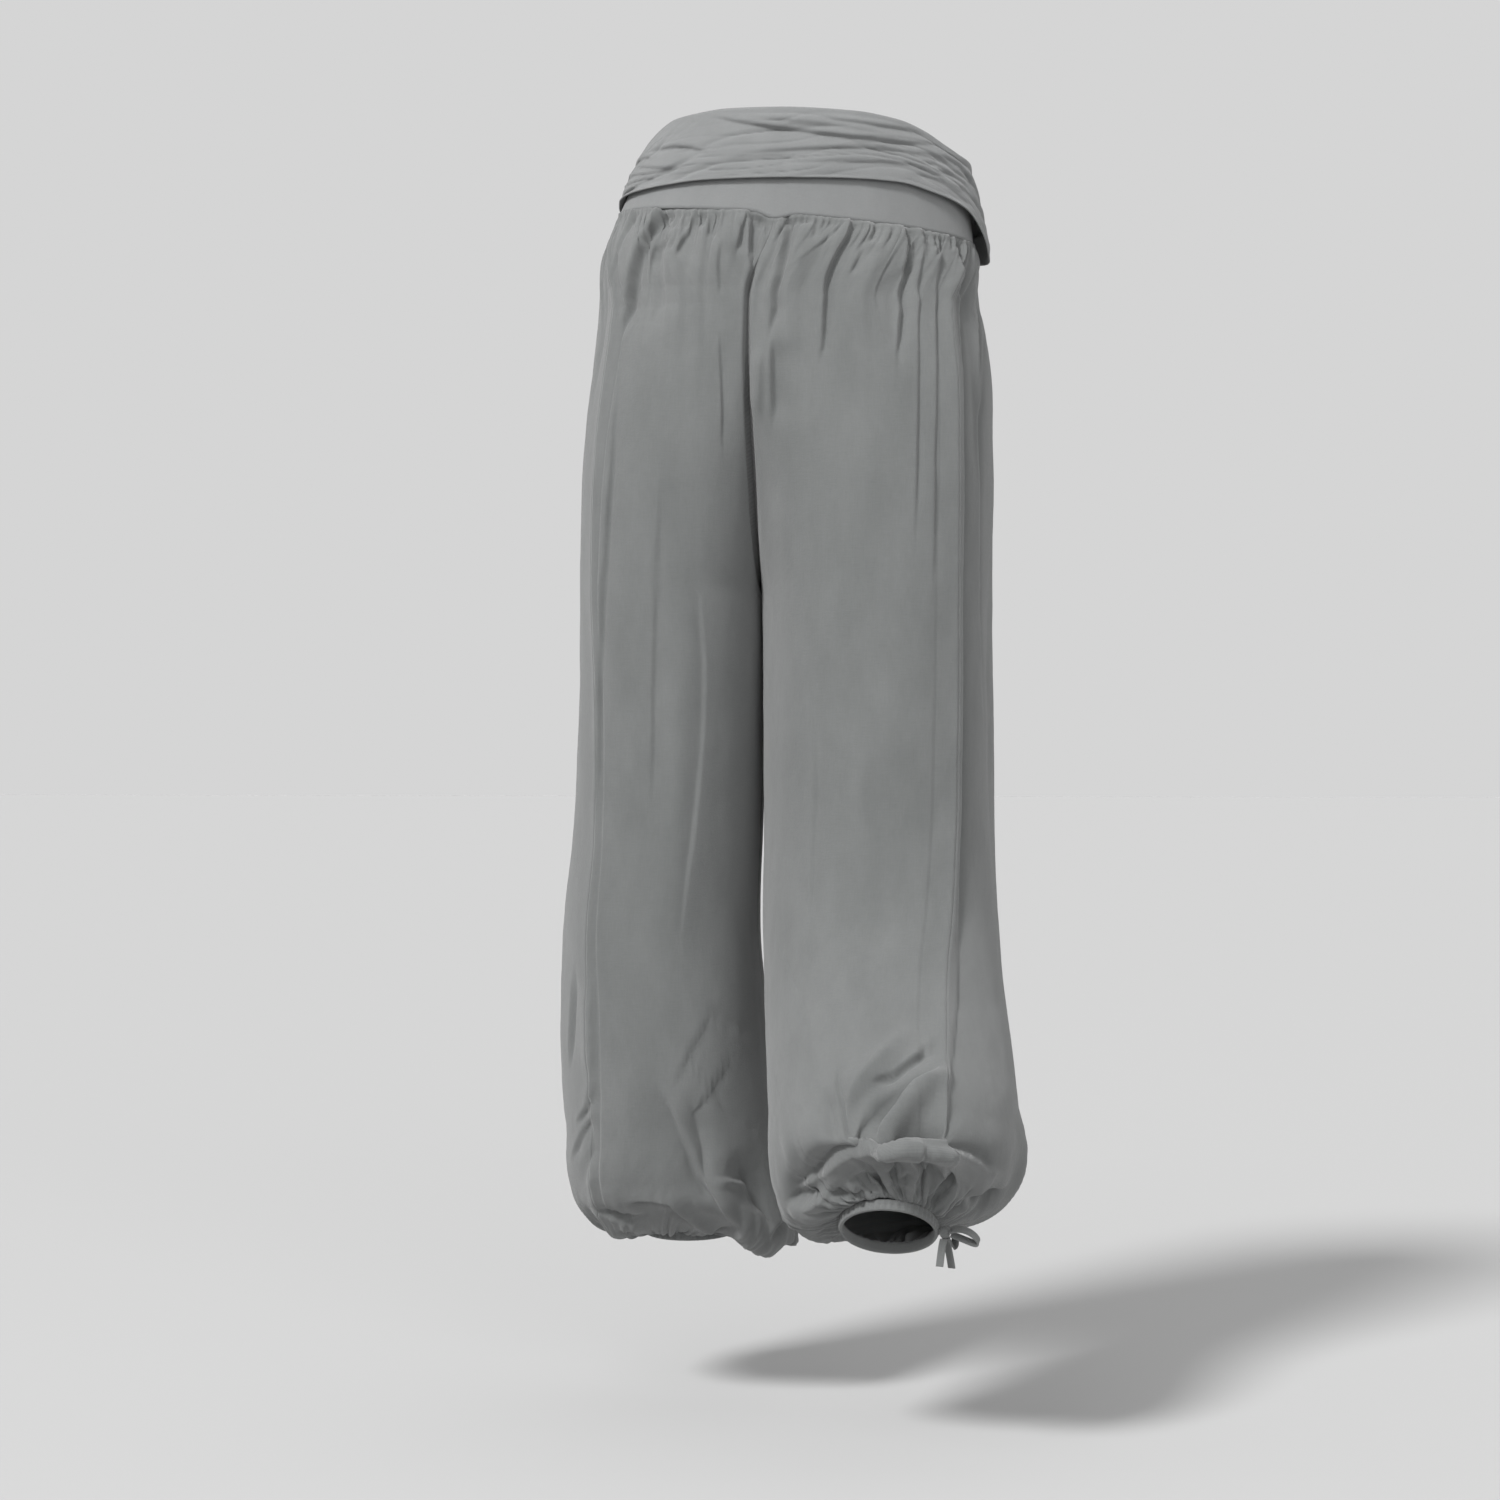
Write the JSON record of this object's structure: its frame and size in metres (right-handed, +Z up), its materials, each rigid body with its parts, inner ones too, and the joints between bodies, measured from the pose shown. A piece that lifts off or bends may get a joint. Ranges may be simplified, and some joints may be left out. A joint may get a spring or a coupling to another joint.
{
  "type": "harem trousers, worn form with no wearer",
  "caption": "Loose gathered harem trousers in mid grey, hollow in a walking pose, with a fold-over jersey waistband and balloon hems drawn into narrow cuffs.",
  "frame": {"origin": "middle of the waist seam, where the wearer's waist holds the trousers up", "axes": "+Z up, +Y the wearer's front, +X the wearer's right"},
  "size_m": [0.4137, 0.4317, 0.9721],
  "materials": {
    "grey_woven": "matt crepe-like woven cloth, mid grey",
    "grey_jersey": "matt fine jersey, slightly lighter grey"
  },
  "bodies": {
    "root": {"leg_left_back": "grey_woven", "leg_left_front": "grey_woven", "leg_right_back": "grey_woven", "leg_right_front": "grey_woven", "cuff_left": "grey_woven", "cuff_right": "grey_woven", "waistband": "grey_jersey", "tie_knot": "grey_woven", "tie_loop_back": "grey_woven", "tie_loop_front": "grey_woven", "tie_tail_back": "grey_woven", "tie_tail_front": "grey_woven"}
  },
  "joints": []
}
